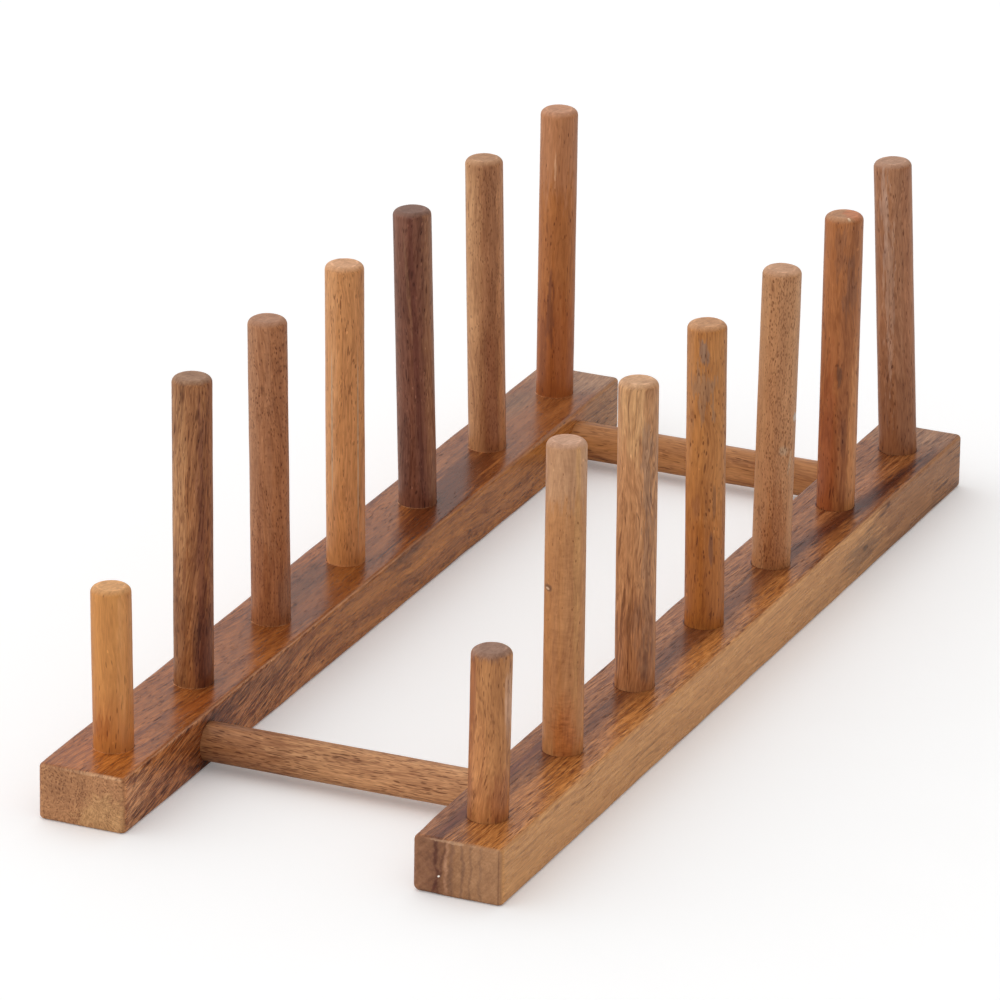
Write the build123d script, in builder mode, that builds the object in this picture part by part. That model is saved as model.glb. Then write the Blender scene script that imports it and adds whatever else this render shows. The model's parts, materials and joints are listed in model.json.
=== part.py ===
from build123d import *
import math
import os

# Plate stand: two wooden rails lie side by side, joined by two round cross rods, and carry
# a row of upright pegs each. Plates stand on edge in the slots between the pegs.
# Sizes are in millimetres and angles in degrees. X runs across the stand, Y runs along the
# rails with the short pegs at the front (-Y), and Z points up. The origin is on the table,
# under the middle of the stand.

# Rails
rail_width = 28.0
rail_height = 17.5
rail_spacing = 119.0  # middle of one rail to the middle of the other
rail_overhang = 21.5  # wood left beyond the middle of the first and last peg
end_corner_radius = 2.0  # upright corners of each rail end
edge_radius = 1.2  # long edges and end edges, top and bottom

# Pegs
peg_diameter = 12.0
peg_pitch = 54.0  # middle of one peg to the middle of the next
pegs_per_rail = 7
peg_seat_depth = 12.5  # length of peg that is glued into its rail
tall_rise = 96.5  # length of a tall peg above its rail
left_short_rise = 50.0
right_short_rise = 52.0
peg_tip_radius = 2.0
bore_end_gap = 0.5  # room for glue below a peg

# The pegs were set by hand and lean a little sideways. Each angle is how far a peg leans
# towards +X, from the front of the rail to the back.
left_leans = (-0.9, -0.4, -1.0, -0.7, -1.8, -1.5, 0.0)
right_leans = (0.6, -0.2, -0.4, -0.7, 0.7, 0.1, -2.9)

# Cross rods
rod_diameter = 12.0
rod_below_middle = 0.75  # rod's middle below the rail's middle height
front_rod_setback = 35.2  # behind the middle of the first peg
rear_rod_setback = 13.6  # in front of the middle of the last peg
socket_wall = 1.0  # wood left between a rod's socket and the line of the peg bores
socket_end_gap = 0.5  # room for glue past a rod's end

# Fits and small edges shared by pegs and rods
glue_film = 0.1  # all round a peg in its bore and a rod in its socket
lead_in = 0.8  # bevel on the hidden ends

# Sizes worked out from the ones above
peg_row_length = (pegs_per_rail - 1) * peg_pitch
rail_length = peg_row_length + 2 * rail_overhang
first_peg_y = -peg_row_length / 2
last_peg_y = peg_row_length / 2
front_rod_y = first_peg_y + front_rod_setback
rear_rod_y = last_peg_y - rear_rod_setback
rod_z = rail_height / 2 - rod_below_middle
inner_face_x = (rail_spacing - rail_width) / 2
bore_radius = peg_diameter / 2 + glue_film
socket_radius = rod_diameter / 2 + glue_film
socket_depth = rail_width / 2 - bore_radius - socket_wall
rod_length = 2 * (inner_face_x + socket_depth - socket_end_gap)

LEFT = -1
RIGHT = 1
side_name = {LEFT: "left", RIGHT: "right"}
leans = {LEFT: left_leans, RIGHT: right_leans}
short_rise = {LEFT: left_short_rise, RIGHT: right_short_rise}


def peg_plane(side, number):
    """Plane on the rail's top where a peg leaves it, square to the leaning peg."""
    lean = math.radians(leans[side][number % len(leans[side])])
    return Plane(
        origin=(side * rail_spacing / 2, first_peg_y + number * peg_pitch, rail_height),
        z_dir=(math.sin(lean), 0, math.cos(lean)),
    )


def rod_socket_plane(side, rod_y):
    """Plane on the rail's inner face where a cross rod enters it, facing the other rail."""
    return Plane(origin=(side * inner_face_x, rod_y, rod_z), z_dir=(-side, 0, 0))


def save(part, name):
    part.label = name
    export_step(part, f"parts/{name}.step")


def make_rail(side):
    """Bar with eased edges, a blind bore for each peg and a blind socket for each rod."""
    with BuildPart() as rail:
        with BuildSketch():
            with Locations((side * rail_spacing / 2, 0)):
                RectangleRounded(rail_width, rail_length, end_corner_radius)
        extrude(amount=rail_height)
        fillet(rail.faces().filter_by(Axis.Z).edges(), edge_radius)
        with Locations([peg_plane(side, number) for number in range(pegs_per_rail)]):
            Hole(bore_radius, depth=peg_seat_depth + bore_end_gap)
        with Locations([rod_socket_plane(side, rod_y) for rod_y in (front_rod_y, rear_rod_y)]):
            Hole(socket_radius, depth=socket_depth)
    save(rail.part, side_name[side] + "_rail")


def make_peg(side, number):
    """Dowel with a rounded tip, seated in its bore."""
    is_short = number == 0
    rise = short_rise[side] if is_short else tall_rise
    with BuildPart() as peg:
        with BuildSketch(peg_plane(side, number).offset(-peg_seat_depth)):
            Circle(peg_diameter / 2)
        extrude(amount=peg_seat_depth + rise)
        fillet(peg.faces().sort_by(Axis.Z)[-1].edges(), peg_tip_radius)
        chamfer(peg.faces().sort_by(Axis.Z)[0].edges(), lead_in)
    kind = "short_peg" if is_short else f"peg_{number + 1}"
    save(peg.part, f"{side_name[side]}_{kind}")


def make_rod(name, rod_y):
    """Dowel across the stand, with both ends in the rails' sockets."""
    with BuildPart() as rod:
        with BuildSketch(Plane.YZ.offset(-rod_length / 2)):
            with Locations((rod_y, rod_z)):
                Circle(rod_diameter / 2)
        extrude(amount=rod_length)
        chamfer(rod.faces().filter_by(Axis.X).edges(), lead_in)
    save(rod.part, name)


os.makedirs("parts", exist_ok=True)
for side in (LEFT, RIGHT):
    make_rail(side)
    for number in range(pegs_per_rail):
        make_peg(side, number)
make_rod("front_rod", front_rod_y)
make_rod("rear_rod", rear_rod_y)
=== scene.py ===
import json
import math
from functools import partial

import bpy
import numpy as np
from bpy.props import FloatProperty, FloatVectorProperty, IntProperty, PointerProperty
from mathutils import Matrix, Vector, noise


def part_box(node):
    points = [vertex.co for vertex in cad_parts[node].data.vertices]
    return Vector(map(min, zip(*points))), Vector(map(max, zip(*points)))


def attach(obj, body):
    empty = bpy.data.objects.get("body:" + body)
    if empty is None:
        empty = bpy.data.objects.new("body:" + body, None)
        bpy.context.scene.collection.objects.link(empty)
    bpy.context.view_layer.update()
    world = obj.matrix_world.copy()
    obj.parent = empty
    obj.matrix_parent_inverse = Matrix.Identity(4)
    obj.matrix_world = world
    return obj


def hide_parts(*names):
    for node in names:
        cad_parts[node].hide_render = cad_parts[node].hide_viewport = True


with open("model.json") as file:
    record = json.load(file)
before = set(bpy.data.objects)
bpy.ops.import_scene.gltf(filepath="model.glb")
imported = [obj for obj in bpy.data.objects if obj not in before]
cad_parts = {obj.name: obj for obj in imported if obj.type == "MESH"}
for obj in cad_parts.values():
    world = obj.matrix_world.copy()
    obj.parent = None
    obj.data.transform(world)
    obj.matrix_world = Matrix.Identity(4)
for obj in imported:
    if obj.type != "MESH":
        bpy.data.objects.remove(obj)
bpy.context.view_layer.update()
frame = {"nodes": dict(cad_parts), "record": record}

# Plate stand of oiled acacia: two rails, two cross rods and two rows of upright pegs.
# Everything is in metres in the frame's own place. Wood patterns are laid out in
# millimetres of grain space, where Z runs along the grain of each piece.

bl_info = {
    "name": "Plate stand",
    "version": (1, 0, 0),
    "blender": (4, 5, 0),
    "location": "3D View > Sidebar > Plate stand",
    "description": "Builds a wooden plate stand with its wood finishes, and a studio to show it in",
    "category": "Object",
}

MM = 0.001
BODY = "root"
RAILS = ("left_rail", "right_rail")
RODS = ("front_rod", "rear_rod")
PEGS = tuple(sorted(name for name in frame["nodes"] if name.endswith("_peg") or "_peg_" in name))

# Read from the frame: each piece's slot, then the rails' top in metres, and the distance from
# peg to peg and the radius of a peg's bore in millimetres
SLOTS = {part["node"]: part["material_slot"] for part in frame["record"]["subparts"]}
RAIL_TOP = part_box("left_rail")[1].z
PEG_PITCH = (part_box("left_peg_3")[0].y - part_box("left_peg_2")[0].y) / MM
BORE = (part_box("left_peg_3")[1].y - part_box("left_peg_3")[0].y) / 2 / MM

# The main view. Angles are in degrees, from the stand's front towards its right and up.
VIEW_AZIMUTH = 23.357
VIEW_ELEVATION = 21.383
VIEW_ROLL = 0.855
VIEW_DISTANCE = 2.5859
VIEW_AIM = (-0.00809, 0.0, 0.04571)
LENS, SENSOR = 306.4, 36.0  # millimetres

WHITE = (1.0, 1.0, 1.0)
HALF = (0.5, 0.5, 0.5)


def srgb(red, green, blue):
    """Colour given as 0 to 255 on screen, as the linear values that shaders use."""
    def to_linear(value):
        value /= 255
        return value / 12.92 if value <= 0.04045 else ((value + 0.055) / 1.055) ** 2.4
    return (to_linear(red), to_linear(green), to_linear(blue))


class Net:
    """Adds nodes to one tree and wires them, so that a pattern reads like a sum."""

    def __init__(self, tree):
        self.tree = tree

    def feed(self, socket, value):
        if isinstance(value, bpy.types.NodeSocket):
            self.tree.links.new(value, socket)
        else:
            socket.default_value = value

    def add(self, kind, inputs=None, **settings):
        node = self.tree.nodes.new(kind)
        for key, value in settings.items():
            setattr(node, key, value)
        for key, value in (inputs or {}).items():
            self.feed(node.inputs[key], value)
        return node

    def math(self, operation, *values, clamp=False):
        node = self.add("ShaderNodeMath", operation=operation, use_clamp=clamp)
        for socket, value in zip(node.inputs, values):
            self.feed(socket, value)
        return node.outputs[0]

    def chain(self, operation, values):
        """Values joined one after another by the same operation."""
        joined = values[0]
        for value in values[1:]:
            joined = self.math(operation, joined, value)
        return joined

    def plus(self, *values):
        return self.chain("ADD", values)

    def minus(self, first, second):
        return self.math("SUBTRACT", first, second)

    def times(self, *values):
        return self.chain("MULTIPLY", values)

    def swing(self, pattern, amount, gain):
        """A pattern of 0 to 1 as a swing about zero."""
        return self.times(self.minus(pattern, 0.5), self.times(amount, gain))

    def vector(self, operation, *values):
        node = self.add("ShaderNodeVectorMath", operation=operation)
        for socket, value in zip(node.inputs, values):
            self.feed(socket, value)
        return node.outputs["Value" if operation in ("LENGTH", "DOT_PRODUCT") else "Vector"]

    def scaled(self, vector, factor):
        return self.add("ShaderNodeVectorMath", {0: vector, "Scale": factor}, operation="SCALE").outputs[0]

    def combine(self, x, y, z):
        return self.add("ShaderNodeCombineXYZ", {0: x, 1: y, 2: z}).outputs[0]

    def parts(self, vector):
        """X, Y and Z of a vector."""
        return self.add("ShaderNodeSeparateXYZ", {0: vector}).outputs

    def noise(self, place, detail=2.0, roughness=0.5, out="Fac"):
        node = self.add("ShaderNodeTexNoise", {
            "Vector": place, "Scale": 1.0, "Detail": detail, "Roughness": roughness})
        return node.outputs[out]

    def grain(self, place, across, along, detail=2.0, roughness=0.5, out="Fac"):
        """Noise drawn out along Z; across and along are how much of it there is to a millimetre."""
        return self.noise(self.vector("MULTIPLY", place, (across, across, along)), detail, roughness, out)

    def step(self, value, start, end, low=0.0, high=1.0):
        """Smooth step from low to high as value goes from start to end."""
        node = self.add("ShaderNodeMapRange", {0: value, 1: start, 2: end, 3: low, 4: high},
                        interpolation_type="SMOOTHSTEP", clamp=True)
        return node.outputs[0]

    def blend(self, amount, first, second, mode="MIX"):
        node = self.add("ShaderNodeMix", data_type="RGBA", blend_type=mode)
        for index, value in ((0, amount), (6, first), (7, second)):
            if not isinstance(value, bpy.types.NodeSocket) and index > 0:
                value = (*value, 1.0)
            self.feed(node.inputs[index], value)
        return node.outputs[2]

    def multiply(self, colour, tint):
        return self.blend(1.0, colour, tint, "MULTIPLY")

    def tinted(self, colour, amount, tint):
        """Colour multiplied by the tint, as far as amount says."""
        return self.blend(amount, colour, self.multiply(colour, tint))

    def shaded(self, colour, tone, dark, light):
        """Colour tinted dark where tone is below zero, and light where it is above."""
        for way, tint in ((-1.0, dark), (1.0, light)):
            amount = self.math("MULTIPLY", tone, way, clamp=True)
            colour = self.multiply(colour, self.blend(amount, WHITE, tint))
        return colour


def new_group(name, kind, inputs, outputs):
    """Node group with its sockets; inputs are (name, type, default)."""
    tree = bpy.data.node_groups.new(name, kind)
    for label, socket_type, default in inputs:
        socket = tree.interface.new_socket(name=label, in_out="INPUT", socket_type="NodeSocket" + socket_type)
        if default is not None:
            socket.default_value = default
    for label, socket_type in outputs:
        tree.interface.new_socket(name=label, in_out="OUTPUT", socket_type="NodeSocket" + socket_type)
    return Net(tree), tree.nodes.new("NodeGroupInput").outputs, tree.nodes.new("NodeGroupOutput").inputs


def empty_net(owner):
    """Net over the emptied nodes of a new material or world."""
    owner.use_nodes = True
    owner.node_tree.nodes.clear()
    return Net(owner.node_tree)


# Wood patterns. Lengths are in millimetres of grain space.

PEG_RADIUS = 6.0
SIDE_START = 13.4  # X where a rail's side face starts
FRONT_END = -183  # Z just inside a rail's front end
DARK_TINT, LIGHT_TINT = (0.46, 0.33, 0.28), (1.45, 1.60, 1.75)  # of the bands and fibres
END_DARK_TINT, END_LIGHT_TINT = (0.40, 0.31, 0.27), (1.6, 1.8, 2.0)  # of the cut ends
STREAK_TINT, VEIN_TINT, FLECK_TINT = (0.36, 0.25, 0.24), (0.34, 0.25, 0.22), (2.1, 2.4, 2.6)
FOOT_SHADE_TINT, TIP_SHEEN_TINT = (0.99, 0.955, 0.93), (1.02, 1.05, 1.09)  # painted shade towards a peg's foot and painted sheen towards its tip: darker and warmer below, paler and cooler above
RIM_SHEEN_TINT = (1.35, 1.4, 1.45)  # of the painted sheen on the arris round a peg's tip
END_DEPTH, END_SHARE = 1.5, 0.9  # how deep the end grain fades in, and how much of it shows
HIDDEN_END = 1000.0  # for a piece whose ends are out of sight
PLAIN_ROUGHNESS, PLAIN_GLOSS = 0.27, 0.4


def oiled(red, green, blue, light=1.0):
    """Base colour of oiled wood that looks like the given screen colour, 0 to 255, in soft light."""
    sheen, level = 0.015, 0.62
    return tuple(max(value - sheen, 0.004) / (level * light) for value in srgb(red, green, blue))


def patch(colour, at, size, amount=0.8, soft=0.3, ragged=0.5, lean=0.0, drop=0.0, beyond=None, light=1.0, **changes):
    """A zone of wood with its own colour. It is an ellipsoid in grain space with a ragged edge.

    at and size are in millimetres; lean and drop are how far it moves along X for each millimetre
    along Z and along Y; beyond keeps it to where X is more, such as one side of a rail; and light
    is how lit it is. The changes say how much more of a thing, such as pores, the wood has there.
    """
    return dict(colour=oiled(*colour, light), at=at, size=size, amount=amount, soft=soft, ragged=ragged,
                lean=lean, drop=drop, beyond=beyond,
                changes={label.capitalize(): change for label, change in changes.items()})


def spot(colour, x, height, width, reach, amount=0.8, small=False, **more):
    """Zone of a peg: x from its middle, height above the rail, half its width and half its height.

    A small one is a mark on the peg's front; others run right through the peg.
    """
    light = (1 - 0.025 * x) * (0.88 + 0.0024 * height)
    back, deep = (-math.sqrt(PEG_RADIUS ** 2 - x * x), 1.5 + width) if small else (-3.0, 14.0)
    return patch(colour, (x, back, height), (width, deep, reach), amount, light=light, **more)


def end_line(colour, x, width, amount, soft=0.8):
    """Upright line on the front end of a rail."""
    return patch(colour, (x, 8, FRONT_END), (width, 20, 8), amount, soft=soft)


# Zones that keep to the right-hand side face of the left rail or of the right rail
left_side = partial(patch, beyond=13.5)
right_side = partial(patch, beyond=SIDE_START)


def patch_mask(net, place, edges, zone):
    """Mask of one zone, 1 inside it."""
    from_middle = net.vector("SUBTRACT", place, zone["at"])
    wide, deep, tall = zone["size"]
    reach = net.vector("LENGTH", net.combine(
        net.vector("DOT_PRODUCT", from_middle, (1 / wide, -zone["drop"] / wide, -zone["lean"] / wide)),
        net.vector("DOT_PRODUCT", from_middle, (0.0, 1 / deep, 0.0)),
        net.vector("DOT_PRODUCT", from_middle, (0.0, 0.0, 1 / tall))))
    reach = net.plus(reach, net.times(edges, zone["ragged"]))
    mask = net.times(net.step(reach, 1.0 + zone["soft"], 1.0 - zone["soft"]), zone["amount"])
    if zone["beyond"] is not None:
        mask = net.times(mask, net.step(net.parts(place)["X"], zone["beyond"] - 0.5, zone["beyond"] + 0.5))
    return mask


ACACIA_INPUTS = [
    ("Place", "Vector", None),
    ("Colour", "Color", (0.3, 0.15, 0.08, 1.0)),
    ("Figure", "Float", 1.0),
    ("Pith X", "Float", 22.0),
    ("Pith Y", "Float", 30.0),
    ("Ring Width", "Float", 3.0),
    ("Ring Slope", "Float", 0.03),
    ("Rings", "Float", 0.5),
    ("Wave", "Float", 1.5),
    ("Lean", "Float", 0.0),
    ("Slope", "Float", 0.0),
    ("Slope End", "Float", 1000.0),
    ("Mottle", "Float", 0.35),
    ("Fibres", "Float", 0.5),
    ("Ripple", "Float", 0.0),
    ("Streaks", "Float", 0.2),
    ("Veins", "Float", 0.2),
    ("Pores", "Float", 0.5),
    ("Pore Length", "Float", 1.4),
    ("Pore Size", "Float", 0.32),
    ("Pore Colour", "Color", (0.34, 0.24, 0.20, 1.0)),
    ("Dashes", "Float", 0.15),
    ("Dash Length", "Float", 3.5),
    ("Dash Size", "Float", 0.5),
    ("Flecks", "Float", 0.0),
    ("Seed", "Float", 0.0),
]


def acacia_group():
    """Acacia wood: wandering growth bands, veins, pigment streaks, fibres, pores and pale flecks."""
    net, given, result = new_group(
        "Acacia", "ShaderNodeTree", ACACIA_INPUTS,
        [("Colour", "Color"), ("Height", "Float"), ("Pore Mask", "Float"), ("Ring Tone", "Float")])
    seed = given["Seed"]
    x, y, z = net.parts(given["Place"])
    along = net.math("SMOOTH_MIN", z, given["Slope End"], 30.0)
    on_side = net.step(net.minus(x, SIDE_START), -0.3, 0.3)
    aside = net.times(along, given["Lean"], net.minus(1.0, on_side))
    climb = net.times(along, given["Slope"], on_side)
    straight = net.combine(net.minus(x, aside), net.plus(y, climb), z)
    shifted = net.vector("ADD", straight, net.combine(*(net.times(seed, shift) for shift in (17.3, 5.1, 31.7))))

    # Grain lines wander: broadly along the piece, and a little from pore to pore
    broad = net.vector("SUBTRACT", net.grain(shifted, 0.06, 0.014, out="Color"), HALF)
    small = net.vector("SUBTRACT", net.grain(shifted, 0.35, 0.06, out="Color"), HALF)
    drift = net.vector("ADD", net.scaled(broad, net.times(given["Wave"], 8.0)), net.scaled(small, given["Wave"]))
    drift = net.vector("MULTIPLY", drift, (1.0, 1.0, 0.0))
    place = net.vector("ADD", shifted, drift)
    crowd = net.step(net.grain(place, 0.22, 0.05), 0.30, 0.68, 0.25, 1.6)

    def strokes(amount, wide, long, offset, crowded=True):
        """Short strokes along the grain, one to a cell, in as many of the cells as amount says.

        Above 1 all the cells have one, and the strokes grow until they nearly touch.
        """
        size = net.combine(wide, wide, long)
        cells = net.add("ShaderNodeTexVoronoi", {
            "Vector": net.vector("DIVIDE", net.vector("ADD", place, offset), size), "Scale": 0.6}).outputs
        pick, depth, _ = net.add("ShaderNodeSeparateColor", {0: cells["Color"]}).outputs
        limit = net.times(amount, crowd) if crowded else amount
        chosen = net.step(net.minus(limit, pick), -0.03, 0.03)
        edge = net.math("MULTIPLY_ADD", net.math("SUBTRACT", amount, 1.0, clamp=True), 0.16, 0.40)
        shape = net.step(net.minus(cells["Distance"], edge), 0.0, -0.2)
        return net.times(shape, chosen, net.step(depth, -0.4, 1.0))

    ring_x, ring_y, ring_z = net.parts(net.vector("ADD", straight, drift))
    from_pith = net.vector("LENGTH", net.combine(
        net.minus(ring_x, given["Pith X"]), net.minus(ring_y, given["Pith Y"]), 0.0))
    ring_place = net.plus(from_pith, net.times(ring_z, given["Ring Slope"]))
    ring_noise = net.add("ShaderNodeTexNoise", {
        "W": net.plus(net.math("DIVIDE", ring_place, given["Ring Width"]), net.times(seed, 9.1)),
        "Scale": 1.0, "Detail": 4.0, "Roughness": 0.62}, noise_dimensions="1D").outputs["Fac"]
    ring_tone = net.swing(ring_noise, given["Rings"], 4.5)

    fibre = net.grain(place, 3.6, 0.14, 2.0, 0.6)
    tone = net.plus(
        ring_tone,
        net.swing(net.grain(place, 0.28, 0.07, 3.0), given["Mottle"], 3.2),
        net.swing(fibre, given["Fibres"], 2.2),
        net.swing(net.grain(place, 1.5, 0.05, 2.0, 0.6), given["Fibres"], 2.6),
        net.swing(net.grain(place, 2.1, 0.26, 1.0), given["Fibres"], 2.4),
        net.swing(net.grain(place, 0.45, 1.0, 2.0, 0.6), given["Ripple"], 4.0))
    colour = net.shaded(given["Colour"], net.times(tone, given["Figure"]), DARK_TINT, LIGHT_TINT)

    streak = net.step(net.grain(place, 0.9, 0.018, 3.0, 0.62), 0.54, 0.68)
    colour = net.tinted(colour, net.times(streak, given["Streaks"]), STREAK_TINT)

    # Veins are thin lines that run on and on, and fade in and out
    off_line = net.math("ABSOLUTE", net.minus(net.grain(place, 0.42, 0.012, 1.0), 0.5))
    fade = net.step(net.grain(place, 0.3, 0.03, 1.0), 0.38, 0.62)
    vein = net.times(net.step(off_line, 0.036, 0.0), fade)
    colour = net.tinted(colour, net.times(vein, given["Veins"]), VEIN_TINT)

    pore = net.math(
        "MAXIMUM", strokes(given["Pores"], given["Pore Size"], given["Pore Length"], (0.0, 0.0, 0.0)),
        strokes(given["Dashes"], given["Dash Size"], given["Dash Length"], (31.0, 7.0, 3.0)))
    colour = net.tinted(colour, net.times(pore, 0.9), given["Pore Colour"])

    fleck = strokes(given["Flecks"], 0.45, 1.1, (5.0, 40.0, 9.0), crowded=False)
    colour = net.tinted(colour, net.times(fleck, 0.7), FLECK_TINT)

    height = net.minus(net.times(fibre, 0.35), pore)
    for label, value in (("Colour", colour), ("Height", height), ("Pore Mask", pore), ("Ring Tone", ring_tone)):
        net.feed(result[label], value)
    return net.tree


END_INPUTS = [
    ("Place", "Vector", None), ("Colour", "Color", (0.38, 0.2, 0.1, 1.0)), ("Ring Tone", "Float", 0.0),
    ("Pith X", "Float", 22.0), ("Pith Y", "Float", 30.0), ("Speckle", "Float", 0.16), ("Rays", "Float", 0.3),
    ("Ring Show", "Float", 0.5), ("Clouds", "Float", 0.15), ("Dots", "Float", 0.12), ("Dot Size", "Float", 0.6),
    ("Seed", "Float", 0.0),
]


def end_grain_group():
    """Cross-cut acacia: dark vessel dots in rows along the rings, fine rays from the pith and faint rings."""
    net, given, result = new_group(
        "End grain", "ShaderNodeTree", END_INPUTS, [("Colour", "Color"), ("Dots", "Float")])
    wander = net.vector("SUBTRACT", net.grain(given["Place"], 0.16, 0.05, out="Color"), HALF)
    place = net.vector("ADD", given["Place"], net.scaled(wander, 4.0))
    x, y, _ = net.parts(place)
    x = net.minus(x, given["Pith X"])
    y = net.minus(y, given["Pith Y"])
    radius = net.vector("LENGTH", net.combine(x, y, 0.0))
    polar = net.combine(net.times(net.math("ARCTAN2", y, x), 30.0), radius, given["Seed"])
    rays = net.noise(net.vector("MULTIPLY", polar, (1.6, 0.25, 1.0)), 2.0, 0.6)
    shift = net.combine(given["Seed"], 0.0, 0.0)
    speckle = net.noise(net.vector("ADD", net.scaled(place, 1.3), shift), 3.0, 0.7)
    cloud = net.noise(net.vector("ADD", net.scaled(place, 0.35), shift), 2.0)

    size = net.math("DIVIDE", 1.0, given["Dot Size"])
    rows = net.vector("MULTIPLY", net.combine(x, net.times(y, 0.7), given["Seed"]), net.combine(size, size, 1.0))
    cells = net.add("ShaderNodeTexVoronoi", {"Vector": rows, "Scale": 0.62, "Randomness": 0.9},
                    voronoi_dimensions="2D")
    columns = net.noise(net.vector("MULTIPLY", place, (0.75, 0.12, 0.1)), 1.0)
    dots = net.times(net.step(cells.outputs["Distance"], 0.5, 0.1), net.step(columns, 0.42, 0.60, 0.35, 1.0))

    tone = net.plus(
        net.swing(speckle, given["Speckle"], 5.0), net.swing(rays, given["Rays"], 4.0),
        net.swing(cloud, given["Clouds"], 5.0), net.times(given["Ring Tone"], given["Ring Show"]))
    tone = net.minus(tone, net.times(dots, given["Dots"]))
    net.feed(result["Colour"], net.shaded(given["Colour"], tone, END_DARK_TINT, END_LIGHT_TINT))
    net.feed(result["Dots"], dots)
    return net.tree


def group_node(net, tree, values):
    """Group node with values set by the names of its inputs."""
    node = net.add("ShaderNodeGroup", node_tree=tree)
    for label, value in values.items():
        socket = node.inputs[label]
        if isinstance(value, tuple) and len(socket.default_value) == 4:
            value = (*value, 1.0)
        net.feed(socket, value)
    return node.outputs


def wood_values(look, inputs):
    """Values of a group's inputs by their names: the look's own, or else a number's default."""
    values = {}
    for label, kind, default in inputs:
        key = label.lower().replace(" ", "_")
        if label not in ("Place", "Colour", "Ring Tone") and (key in look or kind == "Float"):
            values[label] = look.get(key, default)
    return values


def with_zones(net, place, edges, colour, zones, values):
    """Colour with the zones laid over it; the zones' changes to the wood's values go into values."""
    for zone in zones:
        mask = patch_mask(net, place, edges, zone)
        colour = net.blend(mask, colour, zone["colour"])
        for label, change in zone["changes"].items():
            values[label] = net.math("MULTIPLY_ADD", mask, change, values[label])
    return colour


def painted_crescent_mask(net, place, toward):
    """Thin crescent on a rail's top, on the side of each peg's bore that the direction toward points at. Light is
    painted there: a highlight on the left rail, a contact shadow on the right.
    """
    x, y, z = net.parts(place)
    from_peg = net.combine(x, net.math("WRAP", z, PEG_PITCH / 2, -PEG_PITCH / 2), 0.0)
    reach = net.vector("LENGTH", from_peg)
    side = net.math("DIVIDE", net.vector("DOT_PRODUCT", from_peg, (*toward, 0.0)), reach)
    return net.times(net.step(reach, BORE + 0.50, BORE + 0.15), net.step(side, 0.2, 0.6), net.step(y, 0.9, 0.5))


def ragged_edges(net, moved, across, along):
    """Noise of -2 to 2 that makes the edges of the zones ragged."""
    return net.math("MULTIPLY_ADD", net.grain(moved, across, along, 3.0, 0.6), 4.0, -2.0)


def long_grain(net, look, place, moved, tree):
    """Wood along the grain: the look's zones, a peg's painted shade and painted sheen from foot to tip, and the
    painted crescents of light and shadow round the bores.
    """
    values = wood_values(look, ACACIA_INPUTS)
    edges = ragged_edges(net, moved, 0.9, look.get("edge_grain", 0.13))
    colour = with_zones(net, place, edges, oiled(*look["colour"]), look.get("patches", ()), values)
    # painted shade towards a peg's foot and painted sheen towards its tip, blended by height
    if "rise" in look:
        up = net.step(net.parts(place)["Z"], 0.0, look["rise"])
        colour = net.multiply(colour, net.blend(up, FOOT_SHADE_TINT, TIP_SHEEN_TINT))
    # painted highlight and painted contact shadow in a crescent at each bore
    for tint, toward, amount in look.get("painted_crescents", ()):
        colour = net.blend(net.times(painted_crescent_mask(net, place, toward), amount), colour, oiled(*tint))
    return group_node(net, tree, {**values, "Place": place, "Colour": colour})


def cut_grain(net, look, place, moved, ring_tone, tree):
    """Wood of the cut ends. Its zones bend a little, but not near a rail's sides."""
    bend = net.noise(net.vector("MULTIPLY", moved, (0.10, 0.20, 0.04)), 2.0, 0.6)
    aside = net.math("ABSOLUTE", net.parts(place)["X"])
    bend = net.times(net.math("MULTIPLY_ADD", bend, 3.6, -1.8), net.step(aside, 12.5, 9.0))
    bent = net.vector("ADD", place, net.combine(bend, 0.0, 0.0))
    values = wood_values(look, END_INPUTS)
    colour = with_zones(net, bent, ragged_edges(net, moved, 0.5, 0.1), oiled(*look["end_colour"]),
                        look.get("end_patches", ()), values)
    return group_node(net, tree, {**values, "Place": place, "Colour": colour, "Ring Tone": ring_tone})


def painted_rim_sheen(net, surface, radius, place, moved, end_at):
    """Surface with painted sheen on the arris round a peg's flat end, which makes it a little paler."""
    off_axis = net.vector("LENGTH", net.vector("MULTIPLY", place, (1.0, 1.0, 0.0)))
    off_rim = net.math("ABSOLUTE", net.minus(off_axis, radius))
    rim = net.times(net.step(off_rim, 0.55, 0.05), net.step(net.parts(place)["Z"], end_at - 1.2, end_at - 0.3),
                    net.step(net.noise(net.scaled(moved, 0.4), 2.0), 0.35, 0.65))
    return net.tinted(surface, net.times(rim, 0.8), RIM_SHEEN_TINT)


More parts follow.
